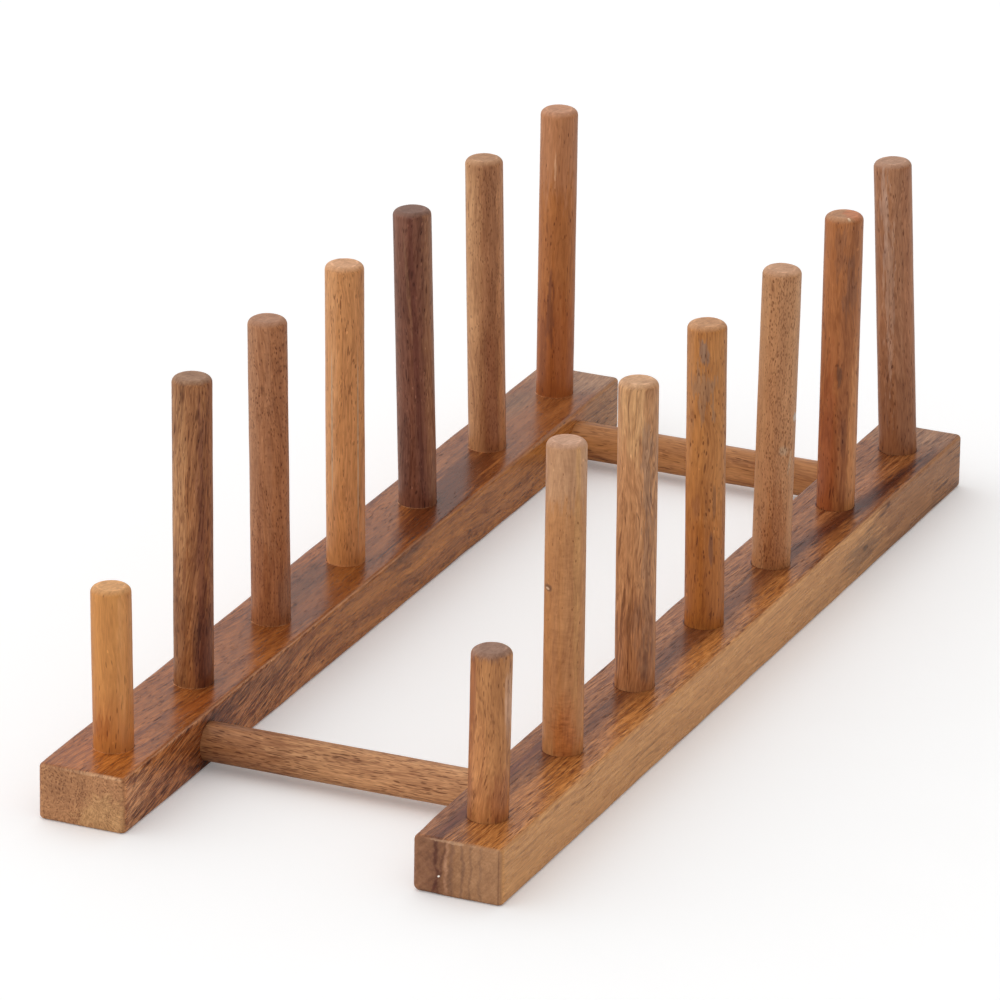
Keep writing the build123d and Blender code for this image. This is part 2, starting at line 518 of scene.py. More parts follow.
def wood_material(name, look, to_grain, end_at, groups, stain):
    """Oiled acacia for one piece: its own colours, bands, zones and end grain, under a stain."""
    material = bpy.data.materials.new(name)
    net = empty_net(material)
    place = net.add("ShaderNodeMapping", {
        "Vector": net.add("ShaderNodeTexCoord").outputs["Object"], "Location": to_grain.translation,
        "Rotation": to_grain.to_3x3().normalized().to_euler(), "Scale": (1 / MM,) * 3}).outputs[0]
    moved = net.vector("ADD", place, tuple(look["seed"] * shift for shift in (3.1, 7.7, 5.3)))
    wood = long_grain(net, look, place, moved, groups["acacia"])
    cut = cut_grain(net, look, place, moved, wood["Ring Tone"], groups["end"])
    along = net.math("ABSOLUTE", net.parts(place)["Z"])
    end = net.times(net.step(along, end_at - END_DEPTH, end_at - 0.15), END_SHARE)
    surface = net.blend(end, wood["Colour"], cut["Colour"])
    # painted sheen on the arris round a peg's tip
    if "rim" in look:
        surface = painted_rim_sheen(net, surface, look["rim"], place, moved, end_at)
    surface = net.multiply(surface, tuple(stain))
    smudge = net.grain(place, 0.25, 0.1, 3.0, 0.6)
    roughness = net.plus(look.get("roughness", PLAIN_ROUGHNESS), net.times(smudge, 0.14),
                         net.times(wood["Pore Mask"], 0.25), net.times(end, 0.15))
    height = net.minus(wood["Height"], net.times(cut["Dots"], end, 0.3))
    bump = net.add("ShaderNodeBump", {"Height": height, "Distance": 0.05 * MM, "Strength": 0.6})
    shader = net.add("ShaderNodeBsdfPrincipled", {
        "Base Color": surface, "Roughness": roughness, "Normal": bump.outputs[0], "IOR": 1.45,
        "Specular IOR Level": look.get("gloss", PLAIN_GLOSS)})
    net.add("ShaderNodeOutputMaterial", {"Surface": shader.outputs[0]})
    return material


# Looks of the pieces. Colours are as seen on screen, 0 to 255. Each piece was cut from another
# board, so each has its own. On a peg X is to the right in the main view, and Z is up.
PEG_LOOKS = {
    "left_short_peg": dict(
        colour=(174, 118, 68), end_colour=(184, 136, 90), seed=1.0, rings=0.2, ring_width=5.0, mottle=0.12,
        fibres=0.25, streaks=0.0, veins=0.1, pores=0.12, pore_length=2.2, dashes=0.05,
        patches=[
            # painted sheen: a paler, greyer zone down the right side
            spot((170, 120, 78), 4.6, 25, 2.4, 60, 0.6),
            # partly painted shade and a painted reflection of the rail's top: the foot darker and redder all round
            spot((158, 100, 56), 0, 0, 14, 15, 0.5),
            spot((142, 80, 42), -3.5, 8, 1.8, 4, 0.5, small=True, ragged=1.2, pores=0.5)]),
    "left_peg_2": dict(
        colour=(138, 92, 61), end_colour=(134, 102, 80), seed=2.0, speckle=0.35, rings=0.4, wave=1.0, lean=0.1,
        fibres=0.75, streaks=0.4, veins=0.6, pores=0.5, dashes=0.5, dash_length=5.0, dash_size=0.4,
        patches=[
            spot((160, 115, 78), -4.6, 62, 3.0, 70, 0.7, ragged=0.7, soft=0.5),
            spot((106, 68, 54), 2.8, 36, 1.3, 52, 0.75, ragged=0.7, soft=0.5),
            spot((126, 82, 58), 5.2, 60, 1.2, 60, 0.6),
            spot((88, 54, 44), 3.4, 8, 2.4, 22, 0.75, soft=0.5),
            spot((114, 74, 48), -4, 8, 3.0, 22, 0.5)]),
    "left_peg_3": dict(
        colour=(148, 101, 71), end_colour=(148, 108, 84), seed=3.0, rings=0.3, wave=1.4, lean=-0.06,
        mottle=0.25, fibres=0.5, streaks=0.1, veins=0.3, pores=0.7, pore_length=0.9, dashes=0.06, ripple=0.15,
        patches=[
            spot((140, 92, 62), 4, 50, 3.2, 90, 0.7, pores=0.7),
            spot((164, 118, 86), -5.2, 70, 2.2, 50, 0.6),
            # partly painted shade and a painted reflection of the rail's top: the foot darker and redder all round
            spot((132, 84, 56), 0, 4, 14, 24, 0.6),
            spot((118, 84, 64), 4.5, 5, 2.0, 12, 0.5)]),
    "left_peg_4": dict(
        colour=(174, 121, 78), end_colour=(180, 136, 102), seed=4.0, rings=0.3, ring_width=2.0, mottle=0.15,
        fibres=0.42, streaks=0.1, veins=0.15, pores=0.4, pore_length=1.6, pore_size=0.26, dashes=0.1,
        patches=[
            spot((190, 137, 93), -5, 60, 2.5, 80, 0.7),
            # partly painted shade and a painted reflection of the rail's top: the foot darker and redder all round
            spot((166, 114, 72), 0, 0, 14, 20, 0.5),
            spot((160, 148, 128), -3.9, 45, 0.22, 24, 0.6, ragged=0.1),
            spot((154, 138, 116), 4.0, 38, 0.22, 30, 0.6, ragged=0.1)]),
    "left_peg_5": dict(
        colour=(108, 72, 58), end_colour=(112, 84, 72), seed=5.0, rings=0.4, mottle=0.25, fibres=0.6,
        streaks=0.3, veins=0.25, pores=0.45, dashes=0.15, lean=0.02, flecks=0.04,
        patches=[
            spot((116, 78, 64), 1.5, 18, 5.0, 26, 0.2, flecks=0.5),
            spot((130, 92, 68), 5.0, 60, 1.9, 60, 0.8, soft=0.5),
            spot((122, 86, 70), -5.4, 50, 1.2, 90, 0.6),
            spot((86, 52, 46), 0.2, 60, 1.0, 60, 0.6, lean=-0.03),
            spot((130, 94, 72), -1.6, 72, 0.5, 16, 0.6, lean=-0.06)]),
    "left_peg_6": dict(
        colour=(138, 94, 66), end_colour=(156, 116, 86), seed=6.0, rings=0.35, mottle=0.2, fibres=0.5,
        streaks=0.1, veins=0.1, pores=1.2, pore_length=1.0, pore_size=0.26, pore_colour=(0.42, 0.32, 0.26),
        dashes=0.05,
        patches=[
            spot((172, 126, 88), -5.2, 50, 3.6, 150, 0.9, soft=0.55, ragged=0.3, pores=-0.9),
            spot((154, 108, 74), 5.3, 30, 1.6, 90, 0.7, pores=-0.3),
            spot((120, 74, 52), 1.6, 14, 2.0, 30, 0.5)]),
    "left_peg_7": dict(
        colour=(153, 98, 59), end_colour=(166, 120, 92), seed=7.0, rings=0.25, mottle=0.2, fibres=0.35,
        streaks=0.08, veins=0.1, pores=0.2, dashes=0.05,
        patches=[
            spot((166, 114, 80), 0, 90, 14, 20, 0.8),
            # partly painted shade and a painted reflection of the rail's top: the foot darker and redder all round
            spot((138, 83, 50), 0, 6, 14, 28, 0.85),
            spot((112, 72, 54), -2.0, 28, 1.0, 11, 0.7, ragged=1.0),
            spot((118, 74, 52), -4, 14, 1.2, 16, 0.5),
            spot((204, 160, 124), -1, 77, 0.35, 4.5, 0.6, small=True, ragged=1.2)]),
    "right_short_peg": dict(
        colour=(158, 108, 69), end_colour=(128, 98, 82), seed=8.0, rings=0.4, wave=2.0, lean=0.07, fibres=0.45,
        streaks=0.15, veins=0.15, pores=0.35, pore_length=1.8, dashes=0.3,
        patches=[
            spot((136, 84, 60), -5.2, 30, 1.0, 30, 0.7),
            spot((178, 123, 80), -3, 18, 2.6, 16, 0.6),
            spot((132, 84, 56), 3.4, 7, 3, 9, 0.7),
            spot((124, 92, 78), -2, 54, 8, 4, 0.6),
            # painted sheen: a paler, greyer zone on the right side
            spot((166, 130, 106), 5.2, 36, 1.2, 9, 0.6)]),
    "right_peg_2": dict(
        colour=(162, 113, 74), end_colour=(166, 128, 104), seed=9.0, rings=0.2, mottle=0.2, fibres=0.3,
        streaks=0.04, veins=0.08, pores=0.08, pore_length=1.0, pore_colour=(0.5, 0.38, 0.32), dashes=0.02,
        ripple=0.1,
        patches=[
            spot((172, 130, 98), -0.5, 92, 14, 14, 0.75),
            spot((150, 92, 54), 0.5, 5, 3.2, 12, 0.8, soft=0.5, ripple=0.5),
            spot((172, 128, 82), 3.4, 60, 0.9, 40, 0.5),
            spot((150, 106, 72), 0.3, 48, 3.6, 26, 0.4, soft=0.7, pores=0.25, ripple=0.3),
            spot((104, 76, 62), -4.8, 52.0, 1.1, 1.0, 0.8, small=True, soft=0.4, ragged=0.3),
            spot((200, 170, 140), -5.0, 51.7, 0.5, 0.35, 0.8, small=True, ragged=0.3)]),
    "right_peg_3": dict(
        colour=(166, 119, 82), end_colour=(172, 132, 100), seed=10.0, rings=0.4, wave=2.2, mottle=0.25,
        fibres=0.55, streaks=0.12, veins=0.7, pores=0.12, pore_length=3.0, pore_size=0.24, dashes=0.04,
        patches=[
            spot((190, 144, 100), -1.5, 90, 3.6, 16, 0.85),
            # partly painted shade and a painted reflection of the rail's top: the foot darker and redder all round
            spot((144, 98, 67), 0, 6, 14, 24, 0.8),
            spot((134, 104, 84), 2.6, 70, 1.4, 16, 0.6, ragged=1.0),
            spot((130, 96, 74), 3.2, 35, 1.5, 22, 0.6, ragged=1.0),
            spot((122, 88, 68), -0.5, 21, 1.6, 5, 0.55, ragged=1.0),
            spot((116, 84, 64), 2.6, 10, 1.4, 6, 0.6, ragged=1.0)]),
    "right_peg_4": dict(
        colour=(160, 107, 63), end_colour=(166, 122, 88), seed=11.0, rings=0.3, mottle=0.25, fibres=0.4,
        streaks=0.1, veins=0.15, pores=0.35, pore_length=1.4, dashes=0.1,
        patches=[
            # partly painted shade and a painted reflection of the rail's top: the foot darker and redder all round
            spot((142, 88, 48), 0, 8, 14, 30, 0.75),
            spot((178, 124, 80), -5, 80, 1.6, 25, 0.6),
            spot((134, 106, 88), -0.8, 88.5, 1.5, 4.5, 0.8, small=True, soft=0.2, ragged=1.0),
            spot((134, 104, 82), -0.8, 76, 2.4, 8, 0.6, soft=0.3, ragged=1.4),
            spot((112, 76, 54), 2.6, 41, 0.5, 5, 0.7),
            spot((110, 76, 58), 1.8, 26, 0.6, 5, 0.7),
            spot((138, 90, 62), -2.8, 39, 1.4, 4, 0.5, small=True)]),
    "right_peg_5": dict(
        colour=(162, 116, 81), end_colour=(168, 128, 100), seed=12.0, rings=0.2, mottle=0.15, fibres=0.3,
        streaks=0.05, veins=0.08, pores=1.6, pore_length=0.8, pore_size=0.26, pore_colour=(0.42, 0.32, 0.25),
        dashes=0.08,
        patches=[
            spot((174, 128, 90), -5.4, 60, 1.8, 70, 0.7, pores=-1.4),
            spot((142, 94, 62), 1, 8, 3.6, 20, 0.75),
            spot((166, 124, 90), 5.4, 50, 1.2, 90, 0.5, pores=-1.6),
            spot((166, 156, 144), 5.6, 49, 0.6, 1.4, 0.8, small=True, soft=0.3),
            spot((150, 130, 108), 2.3, 39, 1.4, 1.5, 0.55, small=True, soft=0.6, ragged=0.5, pores=-0.8),
            spot((160, 138, 114), 4.2, 34, 0.5, 4, 0.5, small=True, lean=0.15, ragged=1.0)]),
    "right_peg_6": dict(
        colour=(147, 94, 60), end_colour=(156, 114, 84), seed=13.0, rings=0.35, mottle=0.25, fibres=0.45,
        streaks=0.15, veins=0.2, pores=0.3, pore_length=1.6, dashes=0.1,
        end_patches=[
            patch((166, 96, 64), (3, 0, 96), (3, 5, 6), 0.6),
            patch((214, 190, 160), (1.2, -4.6, 96), (0.5, 0.8, 6), 0.7)],
        patches=[
            spot((132, 74, 48), -3.4, 14, 2.8, 34, 0.75, soft=0.5),
            spot((156, 107, 69), 4.5, 18, 1.7, 32, 0.8, soft=0.3),
            spot((120, 82, 62), 2.6, 74, 1.8, 8, 0.6, ragged=1.2),
            spot((122, 82, 62), -1, 85, 1.8, 8, 0.5, ragged=1.2),
            spot((108, 74, 56), -0.3, 43, 0.7, 4.2, 0.8, small=True, soft=0.2, ragged=0.8),
            spot((114, 74, 54), 1.5, 24, 0.8, 8, 0.55)]),
    "right_peg_7": dict(
        colour=(143, 100, 73), end_colour=(152, 116, 94), seed=14.0, rings=0.3, mottle=0.2, fibres=0.5,
        streaks=0.12, veins=0.15, pores=0.4, pore_length=1.6, dashes=0.06,
        patches=[
            spot((138, 92, 66), 4.5, 50, 2.2, 90, 0.6),
            # partly painted shade and a painted reflection of the rail's top: the foot darker and redder all round
            spot((122, 82, 58), 0, 6, 14, 24, 0.7),
            spot((164, 130, 108), -2, 55, 1.3, 30, 0.6, ragged=1.2),
            spot((166, 132, 112), -3.0, 82, 1.0, 14, 0.6, ragged=1.2)]),
}
ROD_LOOKS = {
    # On a rod X is down, Y is to the back and Z runs to the stand's right
    "front_rod": dict(
        colour=(164, 120, 84), end_colour=(150, 110, 80), seed=15.0, rings=0.3, fibres=0.6, streaks=0.25,
        veins=0.2, pores=1.1, pore_length=2.0, dashes=1.1, dash_length=3.6, dash_size=0.36, ring_width=2.5,
        wave=0.8,
        patches=[
            patch((134, 90, 62), (0, 0, -46), (20, 20, 30), 0.8),
            patch((178, 130, 92), (0, -4, 26), (8, 8, 26), 0.5)]),
    "rear_rod": dict(
        colour=(154, 106, 68), end_colour=(150, 110, 80), seed=16.0, rings=0.35, fibres=0.5, streaks=0.08,
        veins=0.35, pores=0.4, pore_length=2.4, dashes=0.2, dash_length=4.0, ring_width=1.8, wave=0.8),
}
RAIL_LOOKS = {
    # On a rail X is to the right, Y is down from the top and Z runs to the back
    "left_rail": dict(
        colour=(133, 80, 47), end_colour=(160, 115, 80), seed=17.0, roughness=0.19, gloss=0.52, edge_grain=0.06,
        rings=0.4, ring_width=3.0, pith_x=3.0, pith_y=8.0, mottle=0.22, fibres=1.0, streaks=0.15, veins=0.35,
        pores=0.55, pore_length=2.4, pore_size=0.28, dashes=0.2, dash_length=5.0, dash_size=0.42,
        pore_colour=(0.20, 0.13, 0.11), lean=0.12, slope=0.24, slope_end=-50.0, wave=0.8, speckle=0.35,
        # painted highlight: a pale crescent in front of each peg's bore
        clouds=0.1, dots=0.8, dot_size=0.44, ring_show=0.3, painted_crescents=[((196, 140, 100), (0.1, -1.0), 0.7)],
        patches=[
            patch((124, 78, 50), (0, 0, 128), (20, 9, 76), 0.75, soft=0.5, ragged=0.4, figure=-0.3, pores=-0.4,
                  dashes=-0.2, veins=-0.15),
            patch((115, 70, 43), (4, 0, -14), (14, 6, 52), 0.7, soft=0.6, ragged=0.4, figure=-0.25),
            left_side((164, 108, 70), (14, 10, -126), (6, 30, 66), 0.85, ragged=0.4, dashes=1.5, pores=0.6,
                      mottle=0.45, fibres=0.5, figure=0.3, streaks=0.2),
            # partly a painted reflection of the first peg: a lighter orange zone in front of it
            patch((156, 93, 49), (3, 0, -169), (12, 6, 16), 0.75, soft=0.6, ragged=0.6),
            patch((90, 57, 44), (-5, 0, -30), (6.5, 9, 26), 0.6, ragged=0.8, pores=0.1),
            patch((84, 49, 33), (5.5, 0, 65), (7.5, 9, 46), 0.85, ragged=0.6, lean=-0.12, figure=-0.35,
                  pores=-0.3),
            patch((104, 60, 42), (8, 0, -40), (5, 6, 24), 0.5, ragged=1.2, lean=0.06),
            # painted sheen: a greyer, paler zone on the top at the far end
            patch((141, 108, 82), (3, 0, 178), (16, 6, 15), 0.7, ragged=0.4),
            patch((112, 84, 64), (-8, 0, 146), (5, 6, 16), 0.6, soft=0.6, ragged=0.5),
            patch((116, 60, 32), (9, 0, -124), (3, 6, 13), 0.5, soft=0.6, ragged=0.5),
            patch((84, 52, 40), (8.5, -1, 22), (0.35, 5, 30), 0.8, lean=-0.03, ragged=0.2),
            left_side((157, 103, 58), (14, 10, 90), (6, 30, 150), 0.85, ragged=0.3, pores=-0.2, dashes=-0.1,
                      figure=-0.1, streaks=0.1, veins=0.2),
            left_side((138, 92, 62), (14, 12, 40), (3, 2.4, 90), 0.6, ragged=0.6),
            left_side((146, 106, 74), (14, 9, 172), (6, 30, 18), 0.8, ragged=0.3),
            # painted shadow of the front rod: a dark zone on the side face just in front of it
            left_side((98, 54, 36), (14, 12, -124), (6, 14, 15), 0.8, soft=0.5, ragged=0.4, dashes=0.2),
            left_side((128, 72, 42), (14, 9, -146), (6, 30, 13), 0.4, soft=0.6, ragged=0.4),
            left_side((100, 63, 44), (14, 3, -84), (6, 5, 24), 0.45, soft=0.5, ragged=0.6, dashes=0.3),
            left_side((160, 106, 66), (14, 15, -76), (6, 6, 30), 0.6, soft=0.5, ragged=0.4, dashes=-0.9,
                      figure=-0.2),
            left_side((172, 120, 82), (14, 9, -178), (6, 30, 9), 0.75, soft=0.5, ragged=0.5),
            left_side((94, 62, 48), (14, 1.5, 16), (6, 1.8, 14), 0.6, soft=0.5, ragged=0.5),
            # painted highlight along the arris between the top and the right-hand side face
            patch((184, 134, 96), (13.75, 0.25, -80), (0.3, 0.3, 130), 0.7, ragged=0.2, soft=0.4)],
        end_patches=[
            patch((172, 132, 90), (8, 14, FRONT_END), (8, 7, 8), 0.7, dots=-0.45, rays=0.5),
            # painted highlight along the front end's top arris
            patch((200, 160, 122), (4, 0.3, FRONT_END - 0.2), (12, 0.5, 0.6), 0.45, ragged=0.5),
            patch((140, 98, 68), (-5, 5, FRONT_END), (8, 6, 8), 0.5, dots=0.15)]),
    "right_rail": dict(
        colour=(128, 81, 51), end_colour=(133, 95, 68), seed=18.0, roughness=0.21, gloss=0.42, edge_grain=0.05,
        wear=0.75, rings=0.45, ring_width=2.4, ring_slope=0.04, pith_x=-60.0, pith_y=-50.0, mottle=0.1,
        fibres=1.15, streaks=0.35, veins=0.55, pores=0.55, pore_length=3.6, pore_size=0.27, dashes=0.4,
        dash_length=8.0, dash_size=0.32, wave=0.4, lean=0.06, pore_colour=(0.24, 0.15, 0.11), speckle=0.2,
        # painted contact shadow: a dark crescent at the front left of each peg's bore
        rays=0.1, dots=0.1, dot_size=0.5, ring_show=0.55, painted_crescents=[((78, 38, 20), (-0.75, -0.66), 0.8)],
        patches=[
            patch((134, 92, 68), (-13, 9, -100), (5, 30, 130), 0.6, pores=-0.2),
            patch((148, 98, 64), (-10.5, 0, -10), (5, 6, 100), 0.7, soft=0.5, ragged=0.3, pores=-0.2),
            patch((158, 103, 60), (10.5, 0, -82), (6, 8, 138), 0.82, soft=0.4, ragged=0.3, pores=0.4, dashes=0.3),
            patch((168, 116, 72), (13, 0, -60), (2, 8, 120), 0.7, ragged=0.3),
            patch((92, 57, 43), (-3.5, 0, -132), (4.2, 10, 38), 0.75, soft=0.6, ragged=0.4, lean=0.08),
            patch((90, 55, 42), (1.5, 0, -14), (3.6, 12, 90), 0.75, soft=0.6, ragged=0.4, lean=0.015,
                  pores=-0.3, dashes=-0.2),
            # partly a painted reflection of the front pegs: a lighter orange zone in front of them
            patch((164, 108, 63), (4, 0, -156), (7.5, 8, 30), 0.65, soft=0.7, ragged=0.4),
            # partly a painted reflection of the second peg: an orange zone in front of it
            patch((152, 97, 55), (4, 0, -124), (4, 8, 20), 0.5, soft=0.7, ragged=0.5),
            patch((78, 46, 37), (6.8, 0, 108), (3.2, 12, 54), 0.9, soft=0.6, ragged=0.4, lean=0.09),
            patch((72, 43, 36), (9.2, 0, 134), (0.5, 12, 44), 0.75, soft=0.4, ragged=0.15, lean=0.05),
            patch((82, 50, 40), (-3.0, 0, 140), (0.5, 12, 40), 0.6, soft=0.4, ragged=0.15, lean=0.06),
            patch((150, 97, 64), (1.5, 0, 118), (3.0, 8, 34), 0.55, soft=0.6, ragged=0.4, lean=0.03, pores=-0.3),
            patch((134, 84, 52), (-8, 0, 130), (6, 8, 50), 0.6, soft=0.6, ragged=0.5),
            patch((88, 52, 44), (-6.8, 9, -145), (1.9, 30, 55), 0.85, soft=0.5, ragged=0.5, pores=-0.3),
            # painted sheen: a greyer, paler zone on the top at the far end
            patch((134, 100, 76), (0, 0, 178), (16, 6, 15), 0.6, ragged=0.5),
            right_side((183, 133, 86), (14, 9, -60), (9, 30, 300), 0.95, soft=0.4, ragged=0.1, pores=-0.9,
                       dashes=-0.6, figure=-0.5, fibres=-0.15, mottle=-0.1, rings=-0.1, streaks=-0.15,
                       veins=-0.1),
            right_side((135, 91, 60), (15, 9, 170), (8, 30, 64), 0.85, ragged=0.3, dashes=0.1, figure=0.2,
                       veins=0.8, streaks=0.2),
            right_side((142, 100, 66), (15, 13, 82), (8, 8, 36), 0.3, ragged=0.4),
            right_side((120, 88, 66), (15, 9, 96), (3, 5, 14), 0.6, ragged=0.8),
            right_side((90, 66, 52), (14, 9, 99), (3, 0.8, 2.0), 0.8, ragged=0.5)],
        end_patches=[
            patch((154, 115, 84), (9, 9, FRONT_END), (9, 20, 8), 0.8, soft=0.6),
            patch((116, 80, 62), (-12, 9, FRONT_END), (4, 20, 8), 0.6, soft=0.7, clouds=0.3),
            end_line((106, 72, 57), -6.6, 2.4, 0.75, soft=0.9),
            end_line((164, 122, 96), -3.3, 0.5, 0.6),
            end_line((110, 80, 64), -1.8, 0.7, 0.75),
            end_line((114, 84, 66), 1.4, 0.4, 0.75),
            end_line((118, 88, 68), 3.9, 0.35, 0.6),
            end_line((122, 92, 72), 7.0, 0.4, 0.5),
            patch((78, 48, 41), (-6.5, 5.5, FRONT_END), (0.5, 9, 8), 0.8, soft=0.9, ragged=0.5, drop=0.05),
            patch((80, 48, 42), (-7.0, 15.0, FRONT_END), (0.55, 4.6, 8), 0.8, soft=0.9, ragged=0.5, drop=-0.40),
            patch((86, 56, 47), (-4.4, 6.0, FRONT_END), (0.35, 6.0, 8), 0.6, soft=0.9, ragged=0.5, drop=-0.10),
            # painted shade along the arris at the right of the front end
            patch((98, 66, 52), (12.8, 9, FRONT_END), (0.16, 20, 8), 0.5, soft=0.5, ragged=0.1),
            # painted highlight along the front end's top arris
            patch((190, 152, 120), (-6, 0.3, FRONT_END - 0.2), (9, 0.45, 0.6), 0.45, ragged=0.8),
            # painted glint: a near-white dot on the front end
            patch((240, 232, 220), (-5.6, 11.4, FRONT_END), (0.32, 0.32, 8), 0.95, soft=0.4, ragged=0.0)]),
}
LOOKS = {**PEG_LOOKS, **ROD_LOOKS, **RAIL_LOOKS}


# Shapes

UNEVEN_SCALE = (180.0, 180.0, 40.0)  # how much a dowel's unevenness varies, per metre
UNEVEN_SEED = 7.3
CORNER_STEPS = 8
OUTLINE_SPACING = 4 * MM
EASING_SWAY, EASING_SCALE = 0.35, 60  # how much a hand-eased edge varies, and how often in a metre
MOST_EASING = 0.95  # of the radius of the bar's corners
WEAR_REACH = 12 * MM  # how far the wear on a rail's front corner goes
BORDER_WIDTH, BORDER_CORNER = 0.4 * MM, 0.3 * MM
SHARP_ANGLE = math.radians(40)
BORE_RINGS = 4


def dowel_tree():
    """Geometry nodes for a turned dowel: rounded tip, bevelled foot, slightly uneven by hand."""
    net, given, result = new_group(
        "Dowel", "GeometryNodeTree",
        [("Length", "Float", 0.1), ("Radius", "Float", 0.006), ("Tip Rounding", "Float", 0.002),
         ("Foot Bevel", "Float", 0.0008), ("Sides", "Int", 96), ("Rings", "Int", 128),
         ("Unevenness", "Float", 0.0001), ("Seed", "Float", 0.0), ("Place", "Vector", None),
         ("Turn", "Vector", None), ("Material", "Material", None)],
        [("Geometry", "Geometry")])
    length, tip, foot, seed = given["Length"], given["Tip Rounding"], given["Foot Bevel"], given["Seed"]
    line = net.add("GeometryNodeCurvePrimitiveLine", {"Start": (0, 0, 0), "End": net.combine(0.0, 0.0, length)})
    rings = net.add("GeometryNodeResampleCurve", {"Curve": line.outputs[0], "Count": given["Rings"]})

    # The rings crowd towards both ends, and are drawn in there
    share = net.add("GeometryNodeSplineParameter").outputs["Factor"]
    crowded = net.minus(0.5, net.times(0.5, net.math("COSINE", net.times(share, math.pi))))
    moved = net.add("GeometryNodeSetPosition", {
        "Geometry": rings.outputs[0], "Position": net.combine(0.0, 0.0, net.times(crowded, length))})
    height = net.parts(net.add("GeometryNodeInputPosition").outputs[0])["Z"]
    into_tip = net.math("MAXIMUM", net.minus(height, net.minus(length, tip)), 0.0)
    arc = net.math("SQRT", net.math("MAXIMUM", net.minus(net.times(tip, tip), net.times(into_tip, into_tip)), 0.0))
    drawn_in = net.plus(net.minus(tip, arc), net.math("MAXIMUM", net.minus(foot, height), 0.0))
    circle = net.add("GeometryNodeCurvePrimitiveCircle", {"Resolution": given["Sides"], "Radius": 1.0})
    skin = net.add("GeometryNodeCurveToMesh", {
        "Curve": moved.outputs[0], "Profile Curve": circle.outputs[0],
        "Scale": net.minus(given["Radius"], drawn_in), "Fill Caps": True})

    position = net.add("GeometryNodeInputPosition").outputs[0]
    uneven_place = net.vector("ADD", net.vector("MULTIPLY", position, UNEVEN_SCALE), net.combine(seed, seed, seed))
    swell = net.swing(net.noise(uneven_place), given["Unevenness"], 2.0)
    uneven = net.add("GeometryNodeSetPosition", {
        "Geometry": skin.outputs[0],
        "Offset": net.scaled(net.add("GeometryNodeInputNormal").outputs[0], swell)})
    smooth = net.add("GeometryNodeSetShadeSmooth", {"Geometry": uneven.outputs[0]})
    placed = net.add("GeometryNodeTransform", {
        "Geometry": smooth.outputs[0], "Translation": given["Place"], "Rotation": given["Turn"]})
    real = net.add("GeometryNodeRealizeInstances", {"Geometry": placed.outputs[0]})
    painted = net.add("GeometryNodeSetMaterial", {"Geometry": real.outputs[0], "Material": given["Material"]})
    net.feed(result["Geometry"], painted.outputs[0])
    return net.tree


def settle(obj):
    """Turns an object's modifiers into a plain mesh."""
    graph = bpy.context.evaluated_depsgraph_get()
    mesh = bpy.data.meshes.new_from_object(obj.evaluated_get(graph), depsgraph=graph)
    obj.modifiers.clear()
    obj.data = mesh
    mesh.name = obj.name
    return obj


def new_object(name, mesh=None):
    obj = bpy.data.objects.new(name, mesh or bpy.data.meshes.new(name))
    bpy.context.scene.collection.objects.link(obj)
    return obj


def dowel(name, tree, values):
    """One dowel from the dowel nodes, settled to a plain mesh."""
    obj = new_object(name)
    nodes = obj.modifiers.new("Dowel", "NODES")
    nodes.node_group = tree
    sockets = {item.name: item.identifier for item in tree.interface.items_tree if item.in_out == "INPUT"}
    for label, value in values.items():
        nodes[sockets[label]] = value
    return settle(obj)


def axis_of(node):
    """Middle point, direction, low end and high end of a round CAD node, from its own mesh."""
    points = np.array([v.co for v in frame["nodes"][node].data.vertices])
    middle = points.mean(axis=0)
    direction = np.linalg.svd(points - middle, full_matrices=False)[2][0]
    if direction[np.argmax(np.abs(direction))] < 0:
        direction = -direction
    reach = (points - middle) @ direction
    return Vector(middle), Vector(direction), reach.min(), reach.max()


def radius_of(node):
    """Radius of a peg or a rod, from its box: a peg leans only sideways, and a rod lies level."""
    low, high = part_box(node)
    return (high.y - low.y) / 2 if node in PEGS else (high.z - low.z) / 2


def finish_piece(obj, node):
    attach(obj, BODY)
    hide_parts(node)


def rounded_outline(half_x, half_y, corner):
    """Points round a rectangle with round corners.

    Each is the middle of its arc, its outward direction, and which corner it is at, (0, 0) if
    none. Points are added along the four straight sides.
    """
    points = []
    for cx, cy, start in ((1, 1, 0), (-1, 1, 90), (-1, -1, 180), (1, -1, 270)):
        for step in range(CORNER_STEPS + 1):
            angle = math.radians(start + 90 * step / CORNER_STEPS)
            out = Vector((math.cos(angle), math.sin(angle)))
            points.append((Vector((cx * (half_x - corner), cy * (half_y - corner))), out, Vector((cx, cy))))
    filled = []
    for index, here in enumerate(points):
        after = points[(index + 1) % len(points)]
        filled.append(here)
        gap = (after[0] - here[0]).length
        if gap > OUTLINE_SPACING:
            count = int(gap / OUTLINE_SPACING)
            for step in range(1, count):
                filled.append((here[0].lerp(after[0], step / count), here[1], Vector((0, 0))))
    return filled


def edge_easings(outline, half, corner, edge, seed, wear):
    """How much the edge is eased at each point: uneven by hand, and more near the front left corner."""
    easings = []
    for arc_middle, out, _ in outline:
        place = arc_middle + out * corner
        ease = edge * (1 + EASING_SWAY * noise.noise(Vector((place.x, place.y, seed)) * EASING_SCALE))
        near = max(0.0, 1 - math.hypot(place.x + half.x, place.y + half.y) / WEAR_REACH)
        easings.append(min(ease * (1 + wear * near * (2 - near)), MOST_EASING * corner))
    return easings


def ring_faces(lower, upper, count):
    """Faces between two rings of points, given by where each ring starts."""
    pairs = [(here, (here + 1) % count) for here in range(count)]
    return [(lower + here, lower + after, upper + after, upper + here) for here, after in pairs]


